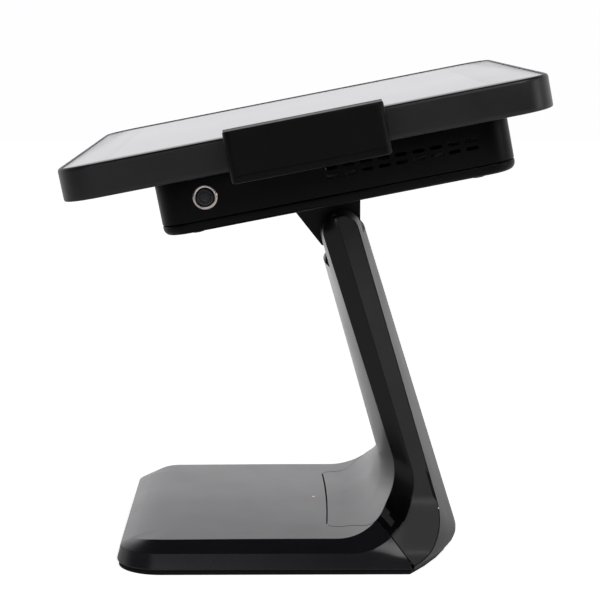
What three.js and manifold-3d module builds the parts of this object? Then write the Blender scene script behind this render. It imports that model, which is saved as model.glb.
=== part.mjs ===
// Touchscreen checkout terminal: a tilting computer head with a card reader on a leaning arm and flat base.
// Millimetres. +X is the user's right, +Y points away from the user, +Z is up.
// The origin is the middle of the base underside.
import * as THREE from 'three';
import { mergeVertices } from 'three/addons/utils/BufferGeometryUtils.js';
import Module from 'manifold-3d';

const wasm = await Module();
wasm.setup();

// ---------- driving dimensions ----------
const GAP = 0.3;                       // clearance between neighbouring pieces
const WALL = 2.5;                      // moulded wall thickness

const HEAD_TOP = { y: 7.2, z: 290.3 };    // middle of the frame's top face
const HEAD_TILT = 11.03;                  // degrees, rear edge up
const FRAME = { x: 176, u: 147.6, depth: 20.1, corner: 23 };
const GLASS = { x: 173, u: 144.6, thick: 3, corner: 20, sunk: 0.3 };
const HOUSING = { x: 140, front: -95.7, rear: 122.8, top: -20.4, bottom: -48.3, corner: 18, wall: 3 };
const COVER_BOTTOM = -54.9;
const BUTTON = { u: -65.8, w: -34.7, ring: 7.45, barrel: 6, cap: 5.25 };
const VENT = { firstU: 11.8, pitch: 10.7, columns: 9, rows: [-32.1, -36.75], length: 7.4, height: 2.2 };
const READER = { front: -46, rear: 47.5, top: 4.8, bottom: -25.7, slot: 183, slotWidth: 1.6, outer: 201 };

const PIVOT = { y: 34, z: 213 };
const ARM_AXIS_LEAN = THREE.MathUtils.degToRad(16.5);
const EAR = { inner: 34, outer: 37 };
const SLOT_HALF = 44;                  // half-width of the gap between the two cheeks
const SHAFT_RADIUS = 5;
const CHEEK_TOP = 12;                  // height of a cheek's side wall above the pivot

const BASE = { half: 113, front: -112, corner: 30, bottom: 3, draft: 2.5, chamfer: 9 };
const PLINTH = { rim: 1.2, plate: 4.4, rearMiddle: 112.5 };
const PARTING = { frontEdge: 0.40, sideEdge: 0.369, rearY: 77.7 };

// Edges of the stand, seen from the side: a level line, a fillet, and a line leaning towards the user.
const RAIL = {
  frontCentre: { z: 22, cornerY: 70.4, radius: 28, lean: 0.2826 },
  frontEdge: { z: 20.6, cornerY: 82.3, radius: 38, lean: 0.316 },
  sideEdge: { z: 13.4, cornerY: 94, radius: 40, lean: 0.304 },
  rearEdge: { z: 3, cornerY: 106.2, radius: 30, lean: 0.29 },
  rearCentre: { z: 3, cornerY: 115.8, radius: 3, lean: 0.3105 },
};

// ---------- solids ----------
function toSolid(geometry) {
  const bare = new THREE.BufferGeometry();
  bare.setAttribute('position', geometry.getAttribute('position'));
  if (geometry.index) bare.setIndex(geometry.index);
  const merged = mergeVertices(bare, 1e-4);
  return new wasm.Manifold(new wasm.Mesh({
    numProp: 3,
    vertProperties: Float32Array.from(merged.getAttribute('position').array),
    triVerts: Uint32Array.from(merged.index.array),
  }));
}

function toGeometry(manifold) {
  const mesh = manifold.getMesh();
  const geometry = new THREE.BufferGeometry();
  geometry.setAttribute('position', new THREE.BufferAttribute(mesh.vertProperties, 3));
  geometry.setIndex(new THREE.BufferAttribute(mesh.triVerts, 1));
  geometry.computeVertexNormals();
  return geometry;
}

function cut(body, ...tools) {
  return toGeometry(tools.reduce((rest, tool) => rest.subtract(toSolid(tool)), toSolid(body)));
}

function join(...bodies) {
  return toGeometry(bodies.map(toSolid).reduce((whole, piece) => whole.add(piece)));
}

// ---------- simple shapes ----------
function box(x0, x1, y0, y1, z0, z1) {
  return new THREE.BoxGeometry(x1 - x0, y1 - y0, z1 - z0)
    .translate((x0 + x1) / 2, (y0 + y1) / 2, (z0 + z1) / 2);
}

function rod(radius, x0, x1, y, z, sides = 24) {
  return new THREE.CylinderGeometry(radius, radius, x1 - x0, sides)
    .rotateZ(-Math.PI / 2).translate((x0 + x1) / 2, y, z);
}

function post(radius, x, y, z0, z1, sides = 20) {
  return new THREE.CylinderGeometry(radius, radius, z1 - z0, sides)
    .rotateX(Math.PI / 2).translate(x, y, (z0 + z1) / 2);
}

function roundedShape(x0, x1, y0, y1, corner) {
  const shape = new THREE.Shape();
  shape.absarc(x1 - corner, y1 - corner, corner, 0, Math.PI / 2);
  shape.absarc(x0 + corner, y1 - corner, corner, Math.PI / 2, Math.PI);
  shape.absarc(x0 + corner, y0 + corner, corner, Math.PI, Math.PI * 1.5);
  shape.absarc(x1 - corner, y0 + corner, corner, Math.PI * 1.5, Math.PI * 2);
  return shape;
}

function plate(x0, x1, y0, y1, z0, z1, corner, curveSegments = 6) {
  const shape = roundedShape(x0, x1, y0, y1, corner);
  return new THREE.ExtrudeGeometry(shape, { depth: z1 - z0, bevelEnabled: false, curveSegments })
    .translate(0, 0, z0);
}

// An outline drawn in the Y-Z plane and pushed along +X.
function sideExtrusion(shape, x0, x1, curveSegments = 8) {
  const axes = new THREE.Matrix4().makeBasis(
    new THREE.Vector3(0, 1, 0), new THREE.Vector3(0, 0, 1), new THREE.Vector3(1, 0, 0));
  return new THREE.ExtrudeGeometry(shape, { depth: x1 - x0, bevelEnabled: false, curveSegments })
    .applyMatrix4(axes).translate(x0, 0, 0);
}

function polygon(points) {
  return new THREE.Shape(points.map(([a, b]) => new THREE.Vector2(a, b)));
}

// A closed solid through a row of rings that all have the same number of points.
function loft(rings) {
  const count = rings[0].length;
  const positions = rings.flat().flatMap((p) => [p.x, p.y, p.z]);
  const index = [];
  for (let ring = 0; ring + 1 < rings.length; ring += 1) {
    for (let i = 0; i < count; i += 1) {
      const a = ring * count + i;
      const b = ring * count + (i + 1) % count;
      index.push(a, b, b + count, a, b + count, a + count);
    }
  }
  addCap(index, rings[0], 0, true);
  addCap(index, rings.at(-1), (rings.length - 1) * count, false);
  const geometry = new THREE.BufferGeometry();
  geometry.setAttribute('position', new THREE.Float32BufferAttribute(positions, 3));
  geometry.setIndex(index);
  return facingOut(geometry);
}

function addCap(index, ring, first, reversed) {
  const normal = new THREE.Vector3();
  ring.forEach((p, i) => normal.add(new THREE.Vector3().crossVectors(p, ring[(i + 1) % ring.length])));
  const size = [Math.abs(normal.x), Math.abs(normal.y), Math.abs(normal.z)];
  const drop = size.indexOf(Math.max(...size));
  const flat = ring.map((p) => {
    const [a, b, c] = [[p.y, p.z, normal.x], [p.z, p.x, normal.y], [p.x, p.y, normal.z]][drop];
    return new THREE.Vector2(c < 0 ? -a : a, b);
  });
  for (const [a, b, c] of THREE.ShapeUtils.triangulateShape(flat, [])) {
    if (reversed) index.push(first + a, first + c, first + b);
    else index.push(first + a, first + b, first + c);
  }
}

function facingOut(geometry) {
  const point = geometry.getAttribute('position');
  const index = Array.from(geometry.index.array);
  const corner = (i) => new THREE.Vector3().fromBufferAttribute(point, index[i]);
  let volume = 0;
  for (let i = 0; i < index.length; i += 3) {
    volume += corner(i).dot(corner(i + 1).cross(corner(i + 2)));
  }
  if (volume < 0) {
    for (let i = 0; i < index.length; i += 3) {
      [index[i + 1], index[i + 2]] = [index[i + 2], index[i + 1]];
    }
    geometry.setIndex(index);
  }
  geometry.computeVertexNormals();
  return geometry;
}

function pan(x, y, z, headRadius, headHeight, shankRadius, shankLength) {
  return join(
    post(headRadius, x, y, z - headHeight, z, 16),
    post(shankRadius, x, y, z - 0.1, z + shankLength, 10),
  );
}

// ---------- the object and its materials ----------
const terminal = new THREE.Group();
const head = new THREE.Group();
head.position.set(0, HEAD_TOP.y, HEAD_TOP.z);
head.rotation.x = THREE.MathUtils.degToRad(HEAD_TILT);
terminal.add(head);

function finish(color, roughness, metalness) {
  return () => new THREE.MeshStandardMaterial({ color, roughness, metalness });
}

const blackShell = finish(0x1b1c20, 0.42, 0.0);
const darkReader = finish(0x151618, 0.5, 0.0);
const glass = finish(0x9a9ba6, 0.12, 0.0);
const satinBase = finish(0x3a393d, 0.35, 0.1);
const blackTrim = finish(0x0e0e10, 0.55, 0.0);
const steel = finish(0x9b9da0, 0.35, 0.9);
const blackSteel = finish(0x1a1a1c, 0.45, 0.6);
const chrome = finish(0xc9b8b2, 0.18, 1.0);
const board = finish(0x1f5a3a, 0.6, 0.0);
const rubber = finish(0x101010, 0.9, 0.0);
const light = finish(0xe6c9c2, 0.3, 0.0);
const alloy = finish(0x8d9094, 0.4, 0.8);

function add(parent, name, geometry, material) {
  const mesh = new THREE.Mesh(geometry, material());
  mesh.name = name;
  parent.add(mesh);
}

// ---------- head: screen ----------
function frontFrame() {
  const outer = plate(-FRAME.x, FRAME.x, -FRAME.u, FRAME.u, -FRAME.depth, 0, FRAME.corner, 8);
  const rim = GAP;
  const glassSeat = plate(-GLASS.x - rim, GLASS.x + rim, -GLASS.u - rim, GLASS.u + rim,
    -GLASS.thick - GLASS.sunk - GAP, 1, GLASS.corner + rim, 8);
  const ledge = 8;
  const cavity = plate(-FRAME.x + ledge, FRAME.x - ledge, -FRAME.u + ledge, FRAME.u - ledge,
    -FRAME.depth + WALL, 0.5, FRAME.corner - ledge);
  const opening = plate(-HOUSING.x + ledge, HOUSING.x - ledge, HOUSING.front + ledge, HOUSING.rear - ledge,
    -FRAME.depth - 1, 0.5, HOUSING.corner - ledge);
  const screwHoles = readerScrewPlaces()
    .map(([x, u]) => post(1.8, x, u, -FRAME.depth - 1, -FRAME.depth + 5, 12));
  return cut(outer, glassSeat, cavity, opening, ...screwHoles);
}

function touchGlass() {
  return plate(-GLASS.x, GLASS.x, -GLASS.u, GLASS.u, -GLASS.sunk - GLASS.thick, -GLASS.sunk, GLASS.corner, 8);
}

function lcdPanel() {
  const top = -GLASS.sunk - GLASS.thick - 2 * GAP;
  return plate(-163, 163, -126, 122, top - 8.5, top, 2, 2);
}

add(head, 'touch_glass', touchGlass(), glass);
add(head, 'front_frame', frontFrame(), blackShell);
add(head, 'lcd_panel', lcdPanel(), alloy);

// ---------- head: housing ----------
const PORTS = [
  { name: 'lan_jack', x: -62, width: 16, height: 13.5, open: [11.8, 8], colour: alloy },
  { name: 'usb_jack_1', x: -40, width: 14.5, height: 7.5, open: [12.2, 5], colour: alloy },
  { name: 'usb_jack_2', x: -20, width: 14.5, height: 7.5, open: [12.2, 5], colour: alloy },
  { name: 'serial_jack', x: 6, width: 16, height: 13.5, open: [11.8, 8], colour: blackTrim },
  { name: 'dc_inlet', x: 32, width: 11, height: 11, open: [6.4, 6.4], colour: blackTrim },
];
const PORT_W = -36;
const PORT_DEPTH = 14;

function ventSlot(u, w, x0, x1) {
  const half = VENT.length / 2;
  const end = VENT.height / 2;
  return sideExtrusion(roundedShape(u - half, u + half, w - end, w + end, end - 0.01), x0, x1, 2);
}

function rearHousing() {
  const inset = HOUSING.wall;
  const outer = plate(-HOUSING.x, HOUSING.x, HOUSING.front, HOUSING.rear,
    HOUSING.bottom, HOUSING.top, HOUSING.corner, 8);
  const hollow = plate(-HOUSING.x + inset, HOUSING.x - inset, HOUSING.front + inset, HOUSING.rear - inset,
    HOUSING.bottom - 1, HOUSING.top + 1, HOUSING.corner - inset, 8);
  const vents = [];
  for (const side of [-1, 1]) {
    const x0 = side > 0 ? HOUSING.x - 5 : -HOUSING.x - 2;
    for (const w of VENT.rows) {
      for (let column = 0; column < VENT.columns; column += 1) {
        vents.push(ventSlot(VENT.firstU + column * VENT.pitch, w, x0, x0 + 7));
      }
    }
  }
  const buttonHole = rod(BUTTON.barrel + GAP, HOUSING.x - 5, HOUSING.x + 2, BUTTON.u, BUTTON.w);
  const portHoles = PORTS.map(({ x, width, height }) => box(x - width / 2 - GAP, x + width / 2 + GAP,
    HOUSING.front - 2, HOUSING.front + 5, PORT_W - height / 2 - GAP, PORT_W + height / 2 + GAP));
  return cut(outer, hollow, buttonHole, ...portHoles, ...vents);
}

const COVER_SCREWS = [-118, 118].flatMap((x) => [-75, 100].map((u) => [x, u]));
const BRACKET_SCREWS = [-50, 50].flatMap((x) => [-38, 62].map((u) => [x, u]));

function backCover() {
  const edge = 4.5;
  const steps = 4;
  const rings = [];
  const outline = (inset, w) => roundedShape(-HOUSING.x + inset, HOUSING.x - inset,
    HOUSING.front + inset, HOUSING.rear - inset, HOUSING.corner - inset)
    .extractPoints(6).shape.slice(0, -1).map((p) => new THREE.Vector3(p.x, p.y, w));
  rings.push(outline(0, HOUSING.bottom - GAP));
  for (let step = 0; step <= steps; step += 1) {
    const angle = (step / steps) * Math.PI / 2;
    rings.push(outline(edge * (1 - Math.cos(angle)), COVER_BOTTOM + edge * (1 - Math.sin(angle))));
  }
  const hollow = plate(-HOUSING.x + 5, HOUSING.x - 5, HOUSING.front + 5, HOUSING.rear - 5,
    COVER_BOTTOM + WALL, HOUSING.bottom + 1, HOUSING.corner - 5);
  const holes = [...COVER_SCREWS, ...BRACKET_SCREWS]
    .map(([x, u]) => post(2.3, x, u, COVER_BOTTOM - 1, COVER_BOTTOM + 5, 12));
  return cut(loft(rings), hollow, ...holes);
}

function heatsink() {
  const base = box(-30, 50, 10, 90, -35, -32);
  const fins = [];
  for (let x = -30; x <= 48; x += 6.5) fins.push(box(x, x + 1.8, 10, 90, -44, -34.5));
  return join(base, ...fins);
}

function speaker() {
  const body = plate(-122, -82, 40, 68, -44, -36, 5, 4);
  return cut(body, post(10, -102, 54, -45, -41, 24));
}

add(head, 'rear_housing', rearHousing(), blackShell);
add(head, 'back_cover', backCover(), blackShell);
add(head, 'mainboard', plate(-110, 115, -74, 105, -31.6, -30, 3, 2), board);
add(head, 'cpu_heatsink', heatsink(), alloy);
add(head, 'solid_state_drive', plate(-72, -36, -40, 40, -39, -32, 1, 2), alloy);
add(head, 'memory_module', box(60, 128, 20, 50, -37, -33.2), board);
add(head, 'speaker', speaker(), blackTrim);
COVER_SCREWS.forEach(([x, u], i) => {
  add(head, `back_cover_screw_${i + 1}`, pan(x, u, COVER_BOTTOM - GAP, 3.6, 1.6, 1.9, 7), blackSteel);
});

// ---------- head: sockets in the housing wall nearest the user ----------
const PORT_FACE = HOUSING.front + GAP;
const SOCKET_END = PORT_FACE + PORT_DEPTH - 3;

// A rod along the depth of the head.
function deepRod(radius, x, u0, u1, w, sides) {
  return new THREE.CylinderGeometry(radius, radius, u1 - u0, sides).translate(x, (u0 + u1) / 2, w);
}

for (const { name, x, width, height, open, colour } of PORTS) {
  const body = box(x - width / 2, x + width / 2, PORT_FACE, PORT_FACE + PORT_DEPTH,
    PORT_W - height / 2, PORT_W + height / 2);
  const socket = box(x - open[0] / 2, x + open[0] / 2, PORT_FACE - 1, SOCKET_END,
    PORT_W - open[1] / 2, PORT_W + open[1] / 2);
  const bore = deepRod(open[0] / 2, x, PORT_FACE - 1, SOCKET_END, PORT_W, 24);
  const tongue = box(x - 5.1, x + 5.1, PORT_FACE + 1.5, SOCKET_END + 1, PORT_W - 0.9, PORT_W + 0.9);
  const pin = deepRod(1.25, x, PORT_FACE + 2, SOCKET_END + 1, PORT_W, 12);
  if (name.startsWith('usb')) add(head, name, join(cut(body, socket), tongue), colour);
  else if (name.startsWith('dc')) add(head, name, join(cut(body, bore), pin), colour);
  else add(head, name, cut(body, socket), colour);
}

// ---------- head: power button ----------
function buttonRing() {
  const bezel = rod(BUTTON.ring, HOUSING.x + GAP, HOUSING.x + 1.5, BUTTON.u, BUTTON.w, 40);
  const barrel = rod(BUTTON.barrel, HOUSING.x - 12, HOUSING.x + 1, BUTTON.u, BUTTON.w, 32);
  const bore = rod(BUTTON.cap + GAP, HOUSING.x - 13, HOUSING.x + 3, BUTTON.u, BUTTON.w, 32);
  return cut(join(bezel, barrel), bore);
}

function buttonNut() {
  const hexagon = rod(9, HOUSING.x - 7, HOUSING.x - HOUSING.wall - GAP, BUTTON.u, BUTTON.w, 6);
  return cut(hexagon, rod(BUTTON.barrel + GAP, HOUSING.x - 8, HOUSING.x, BUTTON.u, BUTTON.w, 24));
}

add(head, 'power_button_ring', buttonRing(), chrome);
add(head, 'power_button_cap', rod(BUTTON.cap, HOUSING.x - 9, HOUSING.x + 1.2, BUTTON.u, BUTTON.w, 32),
  blackTrim);
add(head, 'power_button_switch', rod(BUTTON.barrel, HOUSING.x - 22, HOUSING.x - 12 - GAP, BUTTON.u, BUTTON.w),
  blackTrim);
add(head, 'power_button_nut', buttonNut(), steel);

// ---------- head: card reader ----------
function readerScrewPlaces() {
  return [-30, 30].map((u) => [160, u]);
}

function readerBase() {
  const rail = plate(FRAME.x + GAP, READER.slot, READER.front, READER.rear,
    READER.bottom, READER.top, 1.5, 3);
  const tab = box(150, FRAME.x + 2, READER.front + 6, READER.rear - 6,
    -FRAME.depth - GAP - 2.4, -FRAME.depth - GAP);
  const holes = readerScrewPlaces().map(([x, u]) => post(1.8, x, u, -24, -19, 12));
  return cut(join(rail, tab), ...holes);
}

function readerBlock() {
  const inner = READER.slot + READER.slotWidth;
  const outline = new THREE.Shape();
  const corner = 5;
  outline.moveTo(inner, READER.front);
  outline.lineTo(READER.outer - corner, READER.front);
  outline.absarc(READER.outer - corner, READER.front + corner, corner, -Math.PI / 2, 0);
  outline.absarc(READER.outer - corner, READER.rear - corner, corner, 0, Math.PI / 2);
  outline.lineTo(inner, READER.rear);
  const block = new THREE.ExtrudeGeometry(outline, {
    depth: READER.top - READER.bottom, bevelEnabled: false, curveSegments: 6,
  }).translate(0, 0, READER.bottom);
  const foot = box(READER.slot + GAP, inner + 1, READER.front + 1, READER.rear - 1, READER.bottom, -15);
  const pocket = box(inner - 0.5, inner + 9, -9, 9, -12, -1);
  return cut(join(block, foot), pocket);
}

function readHead() {
  const inner = READER.slot + READER.slotWidth;
  return plate(inner - 0.5, inner + 8.5, -8, 8, -11.5, -1.5, 2, 4);
}

add(head, 'card_reader_base', readerBase(), darkReader);
add(head, 'card_reader_block', readerBlock(), darkReader);
add(head, 'card_read_head', readHead(), steel);
readerScrewPlaces().forEach(([x, u], i) => {
  const under = -FRAME.depth - 2 * GAP - 2.4;
  add(head, `card_reader_screw_${i + 1}`, pan(x, u, under, 3, 1.4, 1.5, 5), blackSteel);
});

// ---------- head: hinge bracket ----------
const pivotInHead = (() => {
  const angle = THREE.MathUtils.degToRad(HEAD_TILT);
  const dy = PIVOT.y - HEAD_TOP.y;
  const dz = PIVOT.z - HEAD_TOP.z;
  return { u: dy * Math.cos(angle) + dz * Math.sin(angle), w: dz * Math.cos(angle) - dy * Math.sin(angle) };
})();

// An outline given around the pivot in row directions, turned into the head's own directions.
function aroundPivot(points) {
  const angle = THREE.MathUtils.degToRad(HEAD_TILT);
  return points.map(([y, z]) => [
    pivotInHead.u + y * Math.cos(angle) + z * Math.sin(angle),
    pivotInHead.w + z * Math.cos(angle) - y * Math.sin(angle),
  ]);
}

const EAR_OUTLINE = [
  [-37, 20], [-36, 23], [10, 33], [13, 30], [13, 3],
  [10.5, -2], [7.5, -7.5], [1, -11], [-6, -13], [-12.5, -11],
];

function tiltBracket() {
  const top = COVER_BOTTOM - GAP;
  const flange = plate(-62, 62, -50, 74, top - 3, top, 6, 4);
  const ears = [-1, 1].map((side) => {
    const x0 = side > 0 ? EAR.inner : -EAR.outer;
    return sideExtrusion(polygon(aroundPivot(EAR_OUTLINE)), x0, x0 + EAR.outer - EAR.inner);
  });
  const above = box(-70, 70, -80, 100, top, top + 30);
  const bore = rod(SHAFT_RADIUS + GAP, -70, 70, pivotInHead.u, pivotInHead.w);
  const holes = BRACKET_SCREWS.map(([x, u]) => post(2.4, x, u, top - 5, top + 1, 12));
  return cut(join(flange, ...ears), above, bore, ...holes);
}

function hingeCover() {
  const outline = aroundPivot([
    [-33.2, 15.4], [-11.8, -10], [-3.5, -12], [-3.5, -10], [-10.7, -8.1], [-31.6, 16.4],
  ]);
  return sideExtrusion(polygon(outline), -EAR.inner + GAP, EAR.inner - GAP);
}

add(head, 'tilt_bracket', tiltBracket(), blackSteel);
add(head, 'hinge_cover', hingeCover(), blackTrim);
BRACKET_SCREWS.forEach(([x, u], i) => {
  add(head, `bracket_screw_${i + 1}`, pan(x, u, COVER_BOTTOM - 2 * GAP - 3, 3.8, 2, 2, 9), steel);
});

// ---------- stand: edges ----------
function shifted(rail, distance) {
  const angle = Math.atan(rail.lean);
  return {
    z: rail.z - distance,
    cornerY: rail.cornerY + distance * (Math.cos(angle) + rail.lean * (1 + Math.sin(angle))),
    radius: rail.radius + distance,
    lean: rail.lean,
  };
}

// t < 0 runs back along the level line in millimetres; 0..1 is the fillet; 1..2 the arm; 2..3 the rounded
// top, where an edge that passes through the pivot goes straight on.
function railPoint(rail, t) {
  const lean = Math.atan(rail.lean);
  const turn = Math.PI / 2 + lean;
  const tangent = rail.radius * Math.tan(turn / 2);
  const startY = rail.cornerY - tangent;
  if (t <= 0) return new THREE.Vector3(0, startY + t, rail.z);
  if (t <= 1) {
    const angle = turn * t;
    const rise = rail.radius * (1 - Math.cos(angle));
    return new THREE.Vector3(0, startY + rail.radius * Math.sin(angle), rail.z + rise);
  }
  const along = new THREE.Vector3(0, -Math.sin(lean), Math.cos(lean));
  const corner = new THREE.Vector3(0, rail.cornerY, rail.z);
  const pivot = new THREE.Vector3(0, PIVOT.y, PIVOT.z);
  const reach = pivot.clone().sub(corner).dot(along);
  if (t <= 2) return corner.addScaledVector(along, tangent + (reach - tangent) * (t - 1));
  const radial = corner.addScaledVector(along, reach).sub(pivot);
  if (radial.length() < SHAFT_RADIUS) return radial.addScaledVector(along, CHEEK_TOP * (t - 2)).add(pivot);
  const sense = radial.y < 0 ? -1 : 1;
  const quarter = Math.PI / 2 + sense * (ARM_AXIS_LEAN - lean) - 0.04;
  return radial.applyAxisAngle(new THREE.Vector3(1, 0, 0), sense * quarter * (t - 2)).add(pivot);
}

// Half-width of the stand at a point of one of its edges. The base wall is nearly upright; towards the rear
// it flares in, and meets the tapering arm in a soft crease.
function halfWidth({ y, z }) {
  const arm = 62 + 0.128 * (229 - Math.max(z, 22));
  const wall = BASE.half - BASE.draft * Math.min((z - BASE.bottom) / (RAIL.sideEdge.z - BASE.bottom), 1);
  const turned = Math.max(THREE.MathUtils.smoothstep(y, 30, 75), THREE.MathUtils.smoothstep(z, 22, 40));
  const flare = wall - 0.86 * turned * Math.max(z - RAIL.sideEdge.z, 0);
  const blend = 1.5;
  return Math.max(arm, flare) + blend * Math.log(1 + Math.exp(-Math.abs(arm - flare) / blend));
}

const EDGE_INSET = 9;

// A point across the front of the stand, s = -1 at the left edge and +1 at the right edge.
function frontPoint(t, s, depth) {
  const edge = railPoint(shifted(RAIL.frontEdge, depth), t);
  const centre = railPoint(shifted(RAIL.frontCentre, depth), t);
  const width = halfWidth(railPoint(RAIL.frontEdge, t)) - EDGE_INSET;
  const point = edge.lerp(centre, 1 - s * s);
  point.x = width * s;
  return point;
}

const ACROSS = [-1, -0.75, -0.5, -0.25, 0, 0.25, 0.5, 0.75, 1];

function steps(from, to, count) {
  return Array.from({ length: count + 1 }, (_, i) => from + (to - from) * i / count);
}

const UP_ARM = [...steps(1, 2, 5).slice(1), ...steps(2, 3, 6).slice(1)];

// ---------- stand: front strip of the arm, with its tongue on the base ----------
const TONGUE = { front: -7, half: 75, opens: 0.12 };

function frontSpread(t) {
  const width = halfWidth(railPoint(RAIL.frontEdge, t)) - EDGE_INSET;
  const narrow = TONGUE.half / width;
  const opened = THREE.MathUtils.smoothstep(t, TONGUE.opens, PARTING.frontEdge);
  return narrow + (1 - narrow) * opened;
}

function frontStrip(stations, outerDepth, innerDepth, margin) {
  return loft(stations.map((t) => {
    const width = halfWidth(railPoint(RAIL.frontEdge, t)) - EDGE_INSET;
    const spread = frontSpread(t) + margin / width;
    const outer = ACROSS.map((s) => frontPoint(t, s * spread, outerDepth));
    const inner = ACROSS.map((s) => frontPoint(t, s * spread, innerDepth)).reverse();
    return [...outer, ...inner];
  }));
}

const TONGUE_STATIONS = [TONGUE.front, -0.5, ...steps(0, PARTING.frontEdge, 6).slice(1)];

function armFrontCover() {
  const stations = [...TONGUE_STATIONS, ...steps(PARTING.frontEdge, 1, 10).slice(1), ...UP_ARM];
  const slot = box(-SLOT_HALF, SLOT_HALF, -20, 80, 188, 240);
  return cut(frontStrip(stations, 0, WALL, -0.2), slot);
}

// ---------- stand: rear cover ----------
function rearPoint(t, s, depth, inset) {
  const edge = railPoint(shifted(RAIL.rearEdge, GAP), t);
  const centre = railPoint(shifted(RAIL.rearCentre, -depth), t);
  const width = halfWidth(edge) - inset;
  const point = edge.lerp(centre, 1 - s * s);
  point.x = width * s;
  return point;
}

function armRearCover() {
  const start = 0.24;
  const stations = [...steps(start, 1, 8), ...UP_ARM];
  const rings = stations.map((t) => {
    const outer = ACROSS.map((s) => rearPoint(t, s, 0, 0));
    const inner = ACROSS.map((s) => rearPoint(t, s, WALL, WALL)).reverse();
    return [...outer, ...inner];
  });
  const foot = rings[0].map((p) => new THREE.Vector3(p.x, p.y, BASE.bottom));
  const slot = box(-SLOT_HALF, SLOT_HALF, -20, 80, 211, 240);
  return cut(loft([foot, ...rings]), slot);
}

// ---------- stand: side walls ----------
function armSide(side) {
  const starts = { frontEdge: PARTING.frontEdge, sideEdge: PARTING.sideEdge, rearEdge: 0.24 };
  const progress = [...steps(0, 1, 10), ...steps(1, 2, 5).slice(1), ...steps(2, 2.8, 5).slice(1)];
  const place = (rail, start, step, inset, shift) => {
    const t = step <= 1 ? start + (1 - start) * step : step;
    const point = railPoint(shifted(rail, shift), t);
    point.x = side * (halfWidth(railPoint(rail, t)) - inset);
    return point;
  };
  return loft(progress.map((step) => [
    place(RAIL.frontEdge, starts.frontEdge, step, EDGE_INSET - 0.2, 0),
    place(RAIL.sideEdge, starts.sideEdge, step, 0, 0),
    place(RAIL.rearEdge, starts.rearEdge, step, 0, 0),
    place(RAIL.rearEdge, starts.rearEdge, step, WALL, 0),
    place(RAIL.sideEdge, starts.sideEdge, step, WALL, 1),
    place(RAIL.frontEdge, starts.frontEdge, step, EDGE_INSET - 0.2, WALL),
  ]));
}

// ---------- stand: base shell ----------
function baseFront() {
  const outline = (inset, z) => {
    const half = BASE.half - inset;
    const corner = Math.max(BASE.corner - inset, 6);
    const front = BASE.front + inset;
    const shape = new THREE.Shape();
    shape.moveTo(half, 0);
    shape.lineTo(-half, 0);
    shape.absarc(-half + corner, front + corner, corner, Math.PI, Math.PI * 1.5);
    shape.absarc(half - corner, front + corner, corner, Math.PI * 1.5, Math.PI * 2);
    return shape.extractPoints(10).shape.map((p) => new THREE.Vector3(p.x, p.y, z));
  };
  const brow = BASE.draft + BASE.chamfer;
  const layers = [[0, BASE.bottom], [BASE.draft, RAIL.sideEdge.z], [brow, 20.2], [26, 20.9], [60, 21.6]];
  const outer = loft(layers.map(([inset, z]) => outline(inset, z)));
  const inner = loft([[WALL, BASE.bottom - 1], [BASE.draft + WALL, RAIL.sideEdge.z - 1], [brow + 1, 17.8]]
    .map(([inset, z]) => outline(inset, z))).translate(0, 0.5, 0);
  return toSolid(outer).subtract(toSolid(inner));
}

function baseShell() {
  const seam = 0.006;
  const rearRings = steps(0, 1, 12).map((step) => {
    const level = step < 0.5;
    const t = level ? -45 * (1 - 2 * step) : (PARTING.frontEdge - seam) * (2 * step - 1);
    const tSide = level ? t : (PARTING.sideEdge - seam) * (2 * step - 1);
    const outer = ACROSS.map((s) => frontPoint(t, s, 0));
    const inner = ACROSS.map((s) => frontPoint(t, s, WALL));
    const wall = (side) => {
      const edge = railPoint(RAIL.sideEdge, tSide);
      const inside = railPoint(shifted(RAIL.sideEdge, 1), tSide);
      const width = halfWidth(edge);
      const backward = (PARTING.rearY - 66) * Math.max(0, 2 * step - 1);
      const bottomY = Math.min(edge.y + backward, PARTING.rearY - 0.4);
      return [
        new THREE.Vector3(side * width, edge.y, edge.z),
        new THREE.Vector3(side * BASE.half, bottomY, BASE.bottom),
        new THREE.Vector3(side * (BASE.half - WALL), bottomY, BASE.bottom),
        new THREE.Vector3(side * (width - WALL), inside.y, inside.z),
      ];
    };
    const right = wall(1);
    const left = wall(-1).reverse();
    return [...outer, ...right, ...inner.reverse(), ...left];
  });
  const notchStations = [TONGUE.front - 0.9, ...TONGUE_STATIONS.slice(1), PARTING.frontEdge + 0.08];
  const notch = toSolid(frontStrip(notchStations, -3, WALL + 3, 0.3));
  const ledRadius = 1.6;
  const ledHole = toSolid(post(ledRadius, 0, 17, 10, 30, 16));
  return toGeometry(baseFront().add(toSolid(loft(rearRings))).subtract(notch).subtract(ledHole));
}

add(terminal, 'base_shell', baseShell(), satinBase);
add(terminal, 'arm_front_cover', armFrontCover(), satinBase);
add(terminal, 'arm_side_left', armSide(-1), blackShell);
add(terminal, 'arm_side_right', armSide(1), blackShell);
add(terminal, 'arm_rear_cover', armRearCover(), blackShell);
add(terminal, 'status_light', post(1.25, 0, 17, 18, 21.9, 16), light);

// ---------- stand: plate and pad under the base ----------
function footprint(inset) {
  const half = BASE.half - inset;
  const corner = BASE.corner - inset;
  const front = BASE.front + inset;
  const sideEnd = PARTING.rearY - inset;
  const rearMiddle = PLINTH.rearMiddle - inset;
  const shape = new THREE.Shape();
  shape.absarc(-half + corner, front + corner, corner, Math.PI, Math.PI * 1.5);
  shape.absarc(half - corner, front + corner, corner, Math.PI * 1.5, Math.PI * 2);
  shape.lineTo(half, sideEnd);
  shape.quadraticCurveTo(0, 2 * rearMiddle - sideEnd, -half, sideEnd);
  return shape;
}

function slab(inset, z0, z1) {
  const options = { depth: z1 - z0, bevelEnabled: false, curveSegments: 12 };
  return new THREE.ExtrudeGeometry(footprint(inset), options).translate(0, 0, z0);
}

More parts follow.
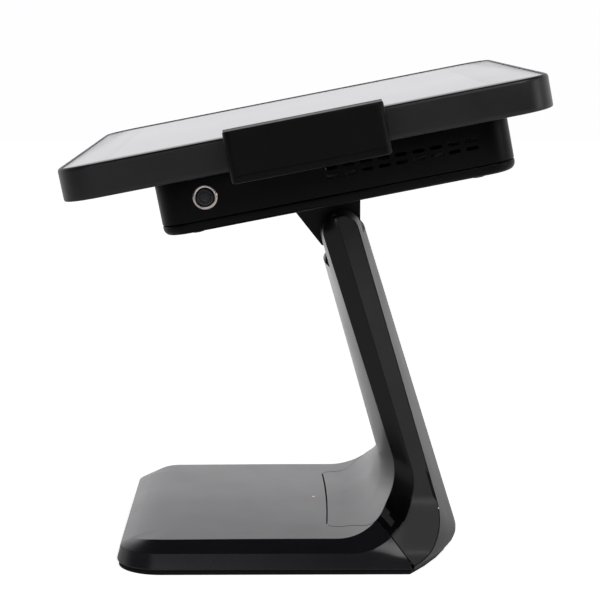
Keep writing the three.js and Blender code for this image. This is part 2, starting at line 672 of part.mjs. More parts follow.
const BASE_SCREWS = [-70, 70].flatMap((x) => [-75, 40].map((y) => [x, y]));
const SPINE_SCREWS = [-24, 24].map((x) => [x, 42]);
const PLATE_BOTTOM = 1.8;
const PLATE_TOP = 4.8;

function basePlate() {
  const holes = [...BASE_SCREWS, ...SPINE_SCREWS].map(([x, y]) => post(2.4, x, y, 0, 8, 12));
  return cut(slab(PLINTH.plate, PLATE_BOTTOM, PLATE_TOP), ...holes);
}

// A sheet under the plate, with a rim that closes the plate's edge.
function antiSlipPad() {
  const seat = slab(PLINTH.plate - GAP, PLATE_BOTTOM - GAP, BASE.bottom + 1);
  return cut(slab(PLINTH.rim, 0, BASE.bottom - GAP), seat);
}

add(terminal, 'base_plate', basePlate(), steel);
add(terminal, 'anti_slip_pad', antiSlipPad(), rubber);
BASE_SCREWS.forEach(([x, y], i) => {
  add(terminal, `base_screw_${i + 1}`, post(2, x, y, PLATE_BOTTOM, 12, 12), steel);
});

// ---------- stand: steel spine and hinge ----------
const SPINE = { thick: 6, half: 40, prong: 4, ring: 9.4 };

function armSpine() {
  const lean = 0.297;
  const rise = (z) => 95 - lean * z - SPINE.thick / 2;
  const outline = polygon([
    [24, PLATE_TOP + GAP], [rise(0), PLATE_TOP + GAP], [rise(0) + 2, PLATE_TOP + 6], [rise(184) + 5, 184],
    [rise(184) - 1, 184], [rise(14) - 6, 14], [rise(14) - 12, PLATE_TOP + 6], [24, PLATE_TOP + 6],
  ]);
  const column = sideExtrusion(outline, -SPINE.half, SPINE.half);
  const yoke = sideExtrusion(polygon([
    [rise(160) - 1, 160], [rise(160) + 5, 160], [rise(184) + 5, 184], [rise(184) - 1, 184],
  ]), -SLOT_HALF - 4, SLOT_HALF + 4);
  const prongs = [-1, 1].flatMap((side) => {
    const x0 = side > 0 ? SLOT_HALF + GAP : -SLOT_HALF - GAP - SPINE.prong;
    const blade = polygon([
      [rise(160), 160], [rise(160) + 9, 160], [PIVOT.y + 9, PIVOT.z - 3], [PIVOT.y - 9, PIVOT.z - 3],
    ]);
    return [
      sideExtrusion(blade, x0, x0 + SPINE.prong),
      rod(SPINE.ring, x0, x0 + SPINE.prong, PIVOT.y, PIVOT.z, 28),
    ];
  });
  const bore = rod(SHAFT_RADIUS + GAP, -70, 70, PIVOT.y, PIVOT.z);
  const holes = SPINE_SCREWS.map(([x, y]) => post(2.4, x, y, 0, 12, 12));
  return cut(join(column, yoke, ...prongs), bore, ...holes);
}

add(terminal, 'arm_spine', armSpine(), steel);
SPINE_SCREWS.forEach(([x, y], i) => {
  add(terminal, `spine_screw_${i + 1}`, post(2, x, y, PLATE_BOTTOM, 10.5, 12), steel);
});

function ringAt(side, x0, x1, radius, sides) {
  const [from, to] = side > 0 ? [x0, x1] : [-x1, -x0];
  return cut(rod(radius, from, to, PIVOT.y, PIVOT.z, sides),
    rod(SHAFT_RADIUS + GAP, from - 1, to + 1, PIVOT.y, PIVOT.z));
}

add(terminal, 'hinge_shaft', rod(SHAFT_RADIUS, -53, 53, PIVOT.y, PIVOT.z), steel);
for (const [label, side] of [['left', -1], ['right', 1]]) {
  add(terminal, `friction_washer_${label}`, ringAt(side, EAR.outer + GAP, 39, 10, 24), steel);
  add(terminal, `hinge_spacer_${label}`, ringAt(side, 39 + GAP, SLOT_HALF, 8.5, 24), alloy);
  add(terminal, `hinge_nut_${label}`, ringAt(side, SLOT_HALF + 2 * GAP + SPINE.prong, 52.5, 8, 6), steel);
}

export default terminal;
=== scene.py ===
"""Looks of a touchscreen checkout terminal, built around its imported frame.

Lengths are in mm until a mesh is made.
"""
import math

import bmesh
import bpy
from mathutils import Matrix, Vector


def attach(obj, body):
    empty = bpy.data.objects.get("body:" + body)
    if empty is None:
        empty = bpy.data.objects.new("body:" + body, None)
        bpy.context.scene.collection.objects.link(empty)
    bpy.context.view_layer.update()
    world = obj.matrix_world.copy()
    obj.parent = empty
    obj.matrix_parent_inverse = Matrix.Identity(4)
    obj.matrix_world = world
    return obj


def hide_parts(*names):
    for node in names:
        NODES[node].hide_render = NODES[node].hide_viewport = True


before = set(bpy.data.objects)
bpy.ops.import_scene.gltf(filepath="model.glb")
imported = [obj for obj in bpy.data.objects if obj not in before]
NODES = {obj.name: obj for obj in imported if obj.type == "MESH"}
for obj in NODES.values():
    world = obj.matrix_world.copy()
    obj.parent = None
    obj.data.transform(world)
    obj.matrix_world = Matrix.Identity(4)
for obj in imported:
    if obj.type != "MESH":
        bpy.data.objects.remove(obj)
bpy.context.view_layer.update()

MM = 0.001

# ---------- driving dimensions, as in the frame ----------
WALL = 2.5
SEAM = 0.5

# Angles in degrees above which an edge counts as sharp, and bevel widths of the sharp edges.
DEFAULT_SHARP, HEAD_SHARP, ARM_SHARP, BASE_SHARP, LENS_SHARP = 32, 28, 30, 24, 40
COVER_EDGE, PLAIN_EDGE = 0.35, 0.3

# The head in its own axes: x across, u (or y) up the screen, w out of the screen from the frame's front.
HEAD_TOP = Vector((0, 7.2, 290.3))
HEAD_TILT = math.radians(11.03)
HEAD = Matrix.Translation(HEAD_TOP) @ Matrix.Rotation(HEAD_TILT, 4, "X")
FRAME_X, FRAME_U, FRAME_DEPTH, FRAME_CORNER = 176, 147.6, 20.1, 23
SEAT_DEPTH, FLOOR_DEPTH = -3.9, -16.5
GLASS_X, GLASS_U, GLASS_CORNER = 173, 144.6, 20
GLASS_TOP, GLASS_BOTTOM = -0.3, -3.3
ACTIVE = dict(x0=-152, x1=152, y0=-116.5, y1=111.9)
HOUSING = dict(x0=-140, x1=140, y0=-95.7, y1=122.8, corner=18, steps=16)
HOUSING_TOP, HOUSING_BOTTOM = -20.4, -48.3
COVER_TOP, COVER_BOTTOM = -48.8, -54.9

# Openings of the housing. Each cutter runs from one side of its wall to the other.
SIDE_CUT = (134, 142)
LOWER_CUT = (-97, -90)
VENT_FIRST, VENT_PITCH, VENT_COLUMNS = 11.8, 10.7, 9
VENT_ROWS = (-32.1, -36.75)
VENT_HALF, VENT_END = 3.7, 1.1
BUTTON_X, BUTTON_U, BUTTON_W, BUTTON_BORE = 140, -65.8, -34.7, 6.3
PORTS = ((-62, 16, 13.5), (-40, 14.5, 7.5), (-20, 14.5, 7.5), (6, 16, 13.5), (32, 11, 11))  # x, width, height
PORT_W, PORT_CLEARANCE = -36, 0.3

# The card reader's block, the foot below its slot and the pocket of its read head (x, u and w ranges).
READER = dict(x0=184.6, x1=201, y0=-46, y1=47.5)
READER_BOTTOM, READER_TOP = -25.7, 4.8
READER_FOOT_X, READER_FOOT_TOP = (183.3, 190), -15
HEAD_POCKET = (184.1, 193.6, -9, 9, -12, -1)

# The stand, in the object's axes. An edge that passes close to the pivot runs straight on up above it.
PIVOT = Vector((0, 34, 213))
ARM_AXIS_LEAN = math.radians(16.5)
ARM_TOP_HALF, ARM_TOP_Z, ARM_TAPER = 62, 229, 0.128
CLOSE_TO_PIVOT, CHEEK_TOP = 5, 12
TOP_GAP = 0.04                 # angle left free between the front and the rear cover at the top
SLOT_HALF, SLOT_Y, SLOT_TOP, FRONT_SLOT_Z, REAR_SLOT_Z = 44, (-20, 80), 245, 188, 211
BASE_HALF, BASE_FRONT, BASE_CORNER, BASE_BOTTOM = 113, -112, 30, 3
DRAFT, CHAMFER = 2.5, 9
LIGHT_Y = 17

# Edges of the stand seen from the side: (level z, corner y, fillet radius, slope of the arm).
FRONT_CENTRE = (22, 70.4, 28, 0.2826)
FRONT_EDGE = (20.6, 82.3, 38, 0.316)
SIDE_EDGE = (13.4, 94, 40, 0.304)
REAR_EDGE = (3, 106.2, 30, 0.29)
REAR_CENTRE = (3, 115.8, 3, 0.3105)
# Where the arm's covers start on the fillets of those edges, as shares of each fillet.
PARTING_FRONT, PARTING_SIDE, PARTING_REAR = 0.40, 0.369, 0.24


# ---------- meshes ----------
def new_mesh(name, points, faces, sharp=DEFAULT_SHARP, place=None):
    """A closed, smooth-shaded piece from points in mm."""
    mesh = bpy.data.meshes.new(name)
    matrix = place or Matrix.Identity(4)
    mesh.from_pydata([(matrix @ Vector(p)) * MM for p in points], [], faces)
    piece = bpy.data.objects.new(name, mesh)
    bpy.context.scene.collection.objects.link(piece)
    tidy(piece, sharp)
    return piece


def tidy(piece, sharp=DEFAULT_SHARP):
    """Merges doubled points, faces the surface outwards and marks its sharp edges."""
    mesh = piece.data
    shape = bmesh.new()
    shape.from_mesh(mesh)
    bmesh.ops.remove_doubles(shape, verts=shape.verts, dist=1e-6)
    bmesh.ops.dissolve_degenerate(shape, edges=shape.edges, dist=1e-7)
    bmesh.ops.recalc_face_normals(shape, faces=shape.faces)
    if shape.calc_volume(signed=True) < 0:
        bmesh.ops.reverse_faces(shape, faces=shape.faces)
    shape.to_mesh(mesh)
    shape.free()
    mesh.shade_smooth()
    mesh.set_sharp_from_angle(angle=math.radians(sharp))


def loft(name, rings, ends="cap", sharp=DEFAULT_SHARP, place=None):
    """A skin through rings of equal length: ends are capped, or joined to each other."""
    count = len(rings[0])
    points = [p for ring in rings for p in ring]
    faces = []
    last = len(rings) if ends == "join" else len(rings) - 1
    for r in range(last):
        a0, b0 = r * count, ((r + 1) % len(rings)) * count
        for i in range(count):
            j = (i + 1) % count
            faces.append((a0 + i, a0 + j, b0 + j, b0 + i))
    if ends == "cap":
        faces.append(tuple(reversed(range(count))))
        faces.append(tuple(range(len(points) - count, len(points))))
    return new_mesh(name, points, faces, sharp, place)


def shell(name, outer, inner, sharp=DEFAULT_SHARP, folded=False):
    """A closed skin of two grids of equal size, joined along their borders.

    A folded grid meets itself in its last row.
    """
    rows, columns = len(outer), len(outer[0])
    size = rows * columns
    points = [p for row in outer for p in row] + [p for row in inner for p in row]
    faces = []
    for i in range(rows - 1):
        for j in range(columns - 1):
            a = i * columns + j
            quad = (a, a + 1, a + columns + 1, a + columns)
            faces.append(quad)
            faces.append(tuple(size + k for k in reversed(quad)))
    border = list(range(columns))
    border += [i * columns + columns - 1 for i in range(1, rows)]
    last = (rows - 1) * columns
    if folded:
        for j in range(columns // 2):
            quad = (last + j, last + j + 1, last + columns - 2 - j, last + columns - 1 - j)
            faces.append(tuple(dict.fromkeys(quad)))
            faces.append(tuple(size + k for k in reversed(faces[-1])))
    else:
        border += [last + j for j in range(columns - 2, 0, -1)]
    border += [i * columns for i in range(rows - 1, 0, -1)]
    for k, a in enumerate(border):
        b = border[(k + 1) % len(border)]
        faces.append((b, a, size + a, size + b))
    return new_mesh(name, points, faces, sharp)


def outline(x0, x1, y0, y1, corner, z, steps=12):
    """A rounded rectangle at height z, counter-clockwise."""
    points = []
    centres = ((x1, y1, 0), (x0, y1, 90), (x0, y0, 180), (x1, y0, 270))
    for x, y, start in centres:
        cx = x - math.copysign(corner, x - (x0 + x1) / 2)
        cy = y - math.copysign(corner, y - (y0 + y1) / 2)
        for k in range(steps + 1):
            angle = math.radians(start + 90 * k / steps)
            points.append((cx + corner * math.cos(angle), cy + corner * math.sin(angle), z))
    return points


def inset_outline(inset, z, x0, x1, y0, y1, corner, steps=12):
    """The rounded rectangle moved in by inset on all sides."""
    radius = max(corner - inset, 0.6)
    return outline(x0 + inset, x1 - inset, y0 + inset, y1 - inset, radius, z, steps)


def turned(name, profile, centre, place, count=64):
    """A ring or knob turned about a line along X: profile points are (x, radius) in a closed loop."""
    rings = []
    for k in range(count):
        angle = 2 * math.pi * k / count
        rings.append([(centre[0] + x, centre[1] + r * math.cos(angle), centre[2] + r * math.sin(angle))
                      for x, r in profile])
    return loft(name, rings, "join", place=place)


def block(name, x0, x1, y0, y1, z0, z1, place=None):
    """A plain box between two corners."""
    corners = [(x, y, z) for z in (z0, z1) for x, y in ((x0, y0), (x1, y0), (x1, y1), (x0, y1))]
    faces = [(3, 2, 1, 0), (4, 5, 6, 7), (0, 1, 5, 4), (1, 2, 6, 5), (2, 3, 7, 6), (3, 0, 4, 7)]
    return new_mesh(name, corners, faces, place=place)


def boolean(piece, tools, operation, sharp=DEFAULT_SHARP):
    """Cuts or joins helper solids into a piece, and removes them."""
    for tool in tools:
        modifier = piece.modifiers.new("cut", "BOOLEAN")
        modifier.operation = operation
        modifier.solver = "MANIFOLD"
        modifier.object = tool
    apply_modifiers(piece)
    for tool in tools:
        bpy.data.objects.remove(tool)
    tidy(piece, sharp)


def merged(name, pieces):
    """One helper made of several solids that don't touch."""
    shape = bmesh.new()
    for piece in pieces:
        shape.from_mesh(piece.data)
        bpy.data.objects.remove(piece)
    mesh = bpy.data.meshes.new(name)
    shape.to_mesh(mesh)
    shape.free()
    helper = bpy.data.objects.new(name, mesh)
    bpy.context.scene.collection.objects.link(helper)
    return helper


def apply_modifiers(piece):
    """Bakes the modifiers into the mesh."""
    bpy.context.view_layer.update()
    evaluated = piece.evaluated_get(bpy.context.evaluated_depsgraph_get())
    mesh = bpy.data.meshes.new_from_object(evaluated)
    piece.modifiers.clear()
    piece.data = mesh


def soften(piece, width, segments=2, angle=30):
    """Rounds the sharp edges by a bevel of the given width in mm."""
    bevel = piece.modifiers.new("edge", "BEVEL")
    bevel.width = width * MM
    bevel.segments = segments
    bevel.limit_method = "ANGLE"
    bevel.angle_limit = math.radians(angle)
    bevel.use_clamp_overlap = True
    bevel.harden_normals = True


def steps(start, end, count):
    """Evenly spaced values from start to end, in count steps."""
    return [start + (end - start) * k / count for k in range(count + 1)]


def smoothstep(x, low, high):
    """0 below low, 1 above high, with a soft ramp between."""
    t = min(max((x - low) / (high - low), 0), 1)
    return t * t * (3 - 2 * t)


# ---------- materials ----------
def shader(name):
    """A new material, its node tree and its surface shader."""
    material = bpy.data.materials.new(name)
    material.use_nodes = True
    tree = material.node_tree
    return material, tree, tree.nodes["Principled BSDF"]


def noise(tree, scale, detail):
    """A noise factor in the object's own coordinates."""
    place = tree.nodes.new("ShaderNodeTexCoord")
    texture = tree.nodes.new("ShaderNodeTexNoise")
    texture.inputs["Scale"].default_value = scale
    texture.inputs["Detail"].default_value = detail
    tree.links.new(place.outputs["Object"], texture.inputs["Vector"])
    return texture.outputs["Fac"]


def ramp(tree, source, start, end, low, high, interpolation="LINEAR"):
    """Maps start..end of a value to low..high."""
    node = tree.nodes.new("ShaderNodeMapRange")
    node.interpolation_type = interpolation
    for socket, value in (("From Min", start), ("From Max", end), ("To Min", low), ("To Max", high)):
        node.inputs[socket].default_value = value
    tree.links.new(source, node.inputs["Value"])
    return node.outputs["Result"]


def spread(tree, noise_factor, low, high):
    """Stretches the middle of a noise over low..high."""
    return ramp(tree, noise_factor, 0.3, 0.7, low, high)


def grain(tree, bsdf, source, strength, distance):
    """A fine relief of the surface."""
    bump = tree.nodes.new("ShaderNodeBump")
    bump.inputs["Strength"].default_value = strength
    bump.inputs["Distance"].default_value = distance
    tree.links.new(source, bump.inputs["Height"])
    tree.links.new(bump.outputs["Normal"], bsdf.inputs["Normal"])


def tint(tree, bsdf, source, dark, pale):
    """A base colour that wanders between two shades."""
    mix = tree.nodes.new("ShaderNodeMix")
    mix.data_type = "RGBA"
    mix.inputs["A"].default_value = (*dark, 1)
    mix.inputs["B"].default_value = (*pale, 1)
    tree.links.new(spread(tree, source, 0, 1), mix.inputs["Factor"])
    tree.links.new(mix.outputs["Result"], bsdf.inputs["Base Color"])


def plastic(name, dark, pale, rough, grain_scale=2600, grain_strength=0.12, specular=0.5):
    """Moulded plastic: a fine spark-eroded grain, with broad soft changes in gloss and shade."""
    material, tree, bsdf = shader(name)
    fine = noise(tree, grain_scale, 2)
    broad = noise(tree, 22, 4)
    tint(tree, bsdf, broad, dark, pale)
    tree.links.new(spread(tree, broad, rough - 0.03, rough + 0.04), bsdf.inputs["Roughness"])
    grain(tree, bsdf, fine, grain_strength, 0.08 * MM)
    bsdf.inputs["Specular IOR Level"].default_value = specular
    return material


def metal(name, dark, pale, rough, stretch=(1, 1, 1)):
    """Metal with fine drawn lines along one direction."""
    material, tree, bsdf = shader(name)
    place = tree.nodes.new("ShaderNodeTexCoord")
    mapping = tree.nodes.new("ShaderNodeMapping")
    mapping.inputs["Scale"].default_value = stretch
    texture = tree.nodes.new("ShaderNodeTexNoise")
    texture.inputs["Scale"].default_value = 900
    texture.inputs["Detail"].default_value = 3
    tree.links.new(place.outputs["Object"], mapping.inputs["Vector"])
    tree.links.new(mapping.outputs["Vector"], texture.inputs["Vector"])
    tint(tree, bsdf, texture.outputs["Fac"], dark, pale)
    tree.links.new(spread(tree, texture.outputs["Fac"], rough - 0.05, rough + 0.07), bsdf.inputs["Roughness"])
    grain(tree, bsdf, texture.outputs["Fac"], 0.08, 0.05 * MM)
    bsdf.inputs["Metallic"].default_value = 1.0
    return material


def screen(name, dark, pale, rough, specular):
    """Cover glass over a switched-off display: faint haze, and a smooth, strong gloss."""
    material, tree, bsdf = shader(name)
    haze = noise(tree, 6, 3)
    tint(tree, bsdf, haze, dark, pale)
    tree.links.new(spread(tree, haze, rough - 0.01, rough + 0.015), bsdf.inputs["Roughness"])
    bsdf.inputs["IOR"].default_value = 1.52
    bsdf.inputs["Specular IOR Level"].default_value = specular
    return material


def circuit_board(name):
    """Green lacquer over a pattern of cells."""
    material, tree, bsdf = shader(name)
    cells = tree.nodes.new("ShaderNodeTexVoronoi")
    cells.inputs["Scale"].default_value = 180
    place = tree.nodes.new("ShaderNodeTexCoord")
    tree.links.new(place.outputs["Object"], cells.inputs["Vector"])
    tint(tree, bsdf, cells.outputs["Distance"], (0.01, 0.08, 0.04), (0.02, 0.16, 0.08))
    bsdf.inputs["Roughness"].default_value = 0.5
    return material


def lit(name, colour, strength):
    """A small lens that glows."""
    material, tree, bsdf = shader(name)
    glow = noise(tree, 300, 1)
    tint(tree, bsdf, glow, tuple(c * 0.9 for c in colour), colour)
    bsdf.inputs["Roughness"].default_value = 0.25
    bsdf.inputs["Emission Color"].default_value = (*colour, 1)
    bsdf.inputs["Emission Strength"].default_value = strength
    return material


# Plastics: darkest and palest shade, roughness, then the grain's scale and strength, and the gloss.
SHELL = plastic("shell_black", (0.008, 0.008, 0.009), (0.012, 0.012, 0.0135), 0.38)
HOUSING_BLACK = plastic("housing_black", (0.0015, 0.0015, 0.0017), (0.003, 0.003, 0.0034), 0.4, specular=0.13)
BAND = plastic("band_black", (0.002, 0.002, 0.0025), (0.004, 0.004, 0.0045), 0.24, 3000, 0.04, 0.4)
ARM_SIDE = plastic("arm_side_black", (0.026, 0.026, 0.0262), (0.034, 0.034, 0.0342), 0.44, 2200, 0.2)
SATIN = plastic("satin_black", (0.010, 0.0093, 0.0125), (0.014, 0.0133, 0.0175), 0.22, 3000, 0.03)
READER_BLACK = plastic("reader_black", (0.002, 0.002, 0.002), (0.0035, 0.0035, 0.0035), 0.42,
                       2400, 0.15, 0.15)
TRIM = plastic("trim_black", (0.004, 0.004, 0.0045), (0.007, 0.007, 0.0075), 0.5, 1800, 0.2)
RUBBER = plastic("rubber_black", (0.004, 0.004, 0.004), (0.008, 0.008, 0.008), 0.85, 900, 0.5, 0.3)
BUTTON_FACE = metal("button_face", (0.045, 0.046, 0.05), (0.075, 0.076, 0.08), 0.32)
CHROME = metal("ring_chrome", (0.78, 0.68, 0.64), (0.92, 0.82, 0.78), 0.16)
STEEL = metal("zinc_steel", (0.42, 0.42, 0.43), (0.56, 0.56, 0.57), 0.34, (1, 6, 6))
PLATE_STEEL = metal("plate_steel", (0.24, 0.24, 0.25), (0.34, 0.34, 0.35), 0.42, (1, 5, 1))
BLACK_STEEL = plastic("coated_steel", (0.002, 0.002, 0.0022), (0.004, 0.004, 0.0042), 0.45, 1500, 0.2, 0.25)
ALLOY = metal("bare_alloy", (0.5, 0.51, 0.53), (0.64, 0.65, 0.67), 0.3, (6, 1, 1))
DISPLAY = screen("display_off", (0.048, 0.043, 0.064), (0.056, 0.051, 0.074), 0.10, 0.38)
BORDER = screen("display_border", (0.018, 0.017, 0.022), (0.022, 0.021, 0.027), 0.10, 0.2)
BOARD = circuit_board("circuit_board")
LED = lit("status_led", (0.95, 0.62, 0.58), 0.6)


def use(piece, material):
    """Gives a piece one material only."""
    piece.data.materials.clear()
    piece.data.materials.append(material)


def finish_piece(piece, material, body, slot, *nodes):
    """Gives a new piece its material and body, and hides the solids that it stands for."""
    if material:
        use(piece, material)
    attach(piece, body)
    if nodes:
        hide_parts(*nodes)


# ---------- camera ----------
def aim_camera():
    """A long lens at the user's right, a little above the screen, looking slightly down."""
    location = Vector((1.276, -0.005, 0.3538))
    pitch, yaw = math.radians(8.65), math.radians(0.57)
    ahead = Vector((-math.cos(pitch) * math.cos(yaw), math.cos(pitch) * math.sin(yaw), -math.sin(pitch)))
    right = ahead.cross(Vector((0, 0, 1))).normalized()
    up = right.cross(ahead)
    turn = Matrix((right, up, -ahead)).transposed().to_4x4()
    data = bpy.data.cameras.new("camera")
    data.sensor_width = 36
    data.lens = 113.64
    camera = bpy.data.objects.new("camera", data)
    camera.matrix_world = Matrix.Translation(location) @ turn
    bpy.context.scene.collection.objects.link(camera)
    bpy.context.scene.camera = camera


aim_camera()


# ---------- head: screen ----------
def front_frame():
    """The moulded surround: a rounded lip, a seat for the glass and a floor with one large hole."""
    floor_hole = dict(x0=-132, x1=132, y0=-87.7, y1=114.8, corner=10)
    rim = dict(x0=-FRAME_X, x1=FRAME_X, y0=-FRAME_U, y1=FRAME_U, corner=FRAME_CORNER)
    profile = [(1.3, -FRAME_DEPTH), (0.4, -19.75), (0.05, -19.0), (0, -17), (0, -2.2), (0.12, -1.3),
               (0.5, -0.55), (1.1, -0.12), (1.9, 0), (2.2, -0.02), (2.55, -0.3), (2.62, SEAT_DEPTH),
               (10, SEAT_DEPTH), (10, FLOOR_DEPTH)]
    rings = [inset_outline(inset, w, **rim) for inset, w in profile]
    rings += [outline(**floor_hole, z=w) for w in (FLOOR_DEPTH, -FRAME_DEPTH)]
    piece = loft("bezel_frame", rings, "join", HEAD_SHARP, HEAD)
    finish_piece(piece, SHELL, "head", "shell", "front_frame")


def screen_glass():
    """The flush touch glass, with the display's area in its own material."""
    size = dict(x0=-GLASS_X, x1=GLASS_X, y0=-GLASS_U, y1=GLASS_U, corner=GLASS_CORNER)
    profile = [(0.3, GLASS_BOTTOM), (0, GLASS_BOTTOM + 0.3), (0, GLASS_TOP - 0.5), (0.15, GLASS_TOP - 0.15),
               (0.5, GLASS_TOP)]
    rings = [inset_outline(inset, w, **size) for inset, w in profile]
    rings.append(outline(**ACTIVE, corner=1, z=GLASS_TOP))
    piece = loft("screen_glass", rings, "cap", HEAD_SHARP, HEAD)
    piece.data.materials.append(BORDER)
    piece.data.materials.append(DISPLAY)
    inverse = HEAD.inverted()
    for face in piece.data.polygons:
        middle = inverse @ (face.center / MM)
        inside = ACTIVE["x0"] < middle.x < ACTIVE["x1"] and ACTIVE["y0"] < middle.y < ACTIVE["y1"]
        face.material_index = 1 if inside and middle.z > GLASS_TOP - 0.1 else 0
    finish_piece(piece, None, "head", "screen_glass", "touch_glass")


# ---------- head: housing ----------
def vent_slot(side, u, w):
    """A cutter for one slot with round ends, centred on (u, w) of a side wall."""
    ring = []
    for centre, start in ((VENT_HALF - VENT_END, -90), (VENT_END - VENT_HALF, 90)):
        for k in range(9):
            angle = math.radians(start + 180 * k / 8)
            ring.append((u + centre + VENT_END * math.cos(angle), w + VENT_END * math.sin(angle)))
    return loft("slot", [[(side * x, a, b) for a, b in ring] for x in SIDE_CUT], place=HEAD)


def port_hole(x, width, height):
    """A cutter for one socket's hole in the lower wall."""
    half_x, half_z = width / 2 + PORT_CLEARANCE, height / 2 + PORT_CLEARANCE
    return block("hole", x - half_x, x + half_x, *LOWER_CUT, PORT_W - half_z, PORT_W + half_z, HEAD)


def button_bore():
    """A cutter for the button's hole in the right wall."""
    ring = [(BUTTON_U + BUTTON_BORE * math.cos(a), BUTTON_W + BUTTON_BORE * math.sin(a))
            for a in steps(0, 2 * math.pi, 40)[:-1]]
    return loft("bore", [[(x, u, w) for u, w in ring] for x in SIDE_CUT], place=HEAD)


def rear_housing():
    """The housing's wall, with its vents, socket holes and button hole cut through."""
    thick = 3
    profile = [(0.5, HOUSING_BOTTOM), (0.12, -48.1), (0, -47.6), (0, -21), (0.25, HOUSING_TOP),
               (thick, HOUSING_TOP), (thick, HOUSING_BOTTOM)]
    rings = [inset_outline(inset, w, **HOUSING) for inset, w in profile]
    piece = loft("housing_shell", rings, "join", HEAD_SHARP, HEAD)
    cutters = [vent_slot(side, VENT_FIRST + k * VENT_PITCH, w)
               for side in (-1, 1) for w in VENT_ROWS for k in range(VENT_COLUMNS)]
    cutters += [port_hole(*port) for port in PORTS] + [button_bore()]
    boolean(piece, [merged("cutters", cutters)], "DIFFERENCE", HEAD_SHARP)
    finish_piece(piece, HOUSING_BLACK, "head", "shell", "rear_housing")


def back_cover():
    """The plate that closes the housing, with a rounded lower edge."""
    edge = 4.5
    profile = [(0.6, COVER_TOP), (0.15, COVER_TOP - 0.15), (0, COVER_TOP - 0.5)]
    for k in range(9):
        angle = math.radians(90 * k / 8)
        profile.append((edge * (1 - math.cos(angle)), COVER_BOTTOM + edge * (1 - math.sin(angle))))
    rings = [inset_outline(inset, w, **HOUSING) for inset, w in profile]
    piece = loft("back_cover_shell", rings, "cap", HEAD_SHARP, HEAD)
    finish_piece(piece, HOUSING_BLACK, "head", "shell", "back_cover")


# ---------- head: power button ----------
def power_button():
    """A bright ring in the wall, round a dark cap with a turned groove."""
    centre = (BUTTON_X, BUTTON_U, BUTTON_W)
    ring = [(-12, 5.6), (-12, 6.0), (0.15, 6.0), (0.15, 7.3), (0.5, 7.45), (1.1, 7.4), (1.5, 7.0), (1.6, 6.5),
            (1.45, 6.0), (1.1, 5.7), (0.6, 5.6)]
    piece = turned("button_bezel", ring, centre, HEAD)
    finish_piece(piece, CHROME, "head", "chrome_trim", "power_button_ring")
    cap = [(-9, 0.01), (-9, 5.2), (0.6, 5.2), (0.85, 5.05), (0.95, 4.8), (0.95, 3.7), (0.8, 3.6), (0.65, 3.5),
           (0.65, 3.2), (0.8, 3.1), (0.95, 3.0), (1.05, 1.5), (1.08, 0.01)]
    piece = turned("button_cap", cap, centre, HEAD)
    finish_piece(piece, BUTTON_FACE, "power_button", "trim", "power_button_cap")


# ---------- head: card reader ----------
def reader_section(inset, w):
    """Outline of the card reader's block, rounder at its outer corners."""
    outer, inner = 5, 1.6
    corners = ((READER["x1"], READER["y1"], 0, outer), (READER["x0"], READER["y1"], 90, inner),
               (READER["x0"], READER["y0"], 180, inner), (READER["x1"], READER["y0"], 270, outer))
    ring = []
    for x, y, start, radius in corners:
        cx = x - math.copysign(radius, x - (READER["x0"] + READER["x1"]) / 2)
        cy = y - math.copysign(radius, y)
        reach = max(radius - inset, 0.2)
        for k in range(13):
            angle = math.radians(start + 90 * k / 12)
            ring.append((cx + reach * math.cos(angle), cy + reach * math.sin(angle), w))
    return ring


def card_reader():
    """The reader's outer block, with the foot that closes the slot below and the read head's pocket."""
    profile = [(1.4, READER_BOTTOM), (0.5, -25.45), (0.1, -24.9), (0, -24.2), (0, -21.8), (0.35, -21.7),
               (0.35, -21.3), (0, -21.2), (0, 3.4), (0.12, 4.1), (0.5, 4.62), (1.3, READER_TOP)]
    piece = loft("reader_block", [reader_section(inset, w) for inset, w in profile], "cap", HEAD_SHARP, HEAD)
    end_gap, lift = 1, 0.02
    foot = block("foot", *READER_FOOT_X, READER["y0"] + end_gap, READER["y1"] - end_gap,
                 READER_BOTTOM + lift, READER_FOOT_TOP, HEAD)
    boolean(piece, [foot], "UNION", HEAD_SHARP)
    pocket = block("pocket", *HEAD_POCKET, HEAD)
    boolean(piece, [pocket], "DIFFERENCE", HEAD_SHARP)
    finish_piece(piece, READER_BLACK, "head", "reader", "card_reader_block")


# ---------- stand: edges and surfaces ----------
def shifted(rail, distance):
    """The edge moved by a distance, down on the level and back on the arm."""
    z, corner_y, radius, slope = rail
    lean = math.atan(slope)
    moved = corner_y + distance * (math.cos(lean) + slope * (1 + math.sin(lean)))
    return (z - distance, moved, radius + distance, slope)


def rail_point(rail, t):
    """A point of an edge, by t.

    Below 0 it runs forward along the level line in mm, 0..1 is the fillet, 1..2 the arm and
    2..3 the rounded top.
    """
    z, corner_y, radius, slope = rail
    lean = math.atan(slope)
    turn = math.pi / 2 + lean
    tangent = radius * math.tan(turn / 2)
    start = corner_y - tangent
    if t <= 0:
        return Vector((0, start + t, z))
    if t <= 1:
        return Vector((0, start + radius * math.sin(turn * t), z + radius * (1 - math.cos(turn * t))))
    along = Vector((0, -math.sin(lean), math.cos(lean)))
    corner = Vector((0, corner_y, z))
    reach = (PIVOT - corner).dot(along)
    if t <= 2:
        return corner + along * (tangent + (reach - tangent) * (t - 1))
    radial = corner + along * reach - PIVOT
    if radial.length < CLOSE_TO_PIVOT:
        return PIVOT + radial + along * CHEEK_TOP * (t - 2)
    sense = -1 if radial.y < 0 else 1
    quarter = math.pi / 2 + sense * (ARM_AXIS_LEAN - lean) - TOP_GAP
    return PIVOT + Matrix.Rotation(sense * quarter * (t - 2), 3, "X") @ radial


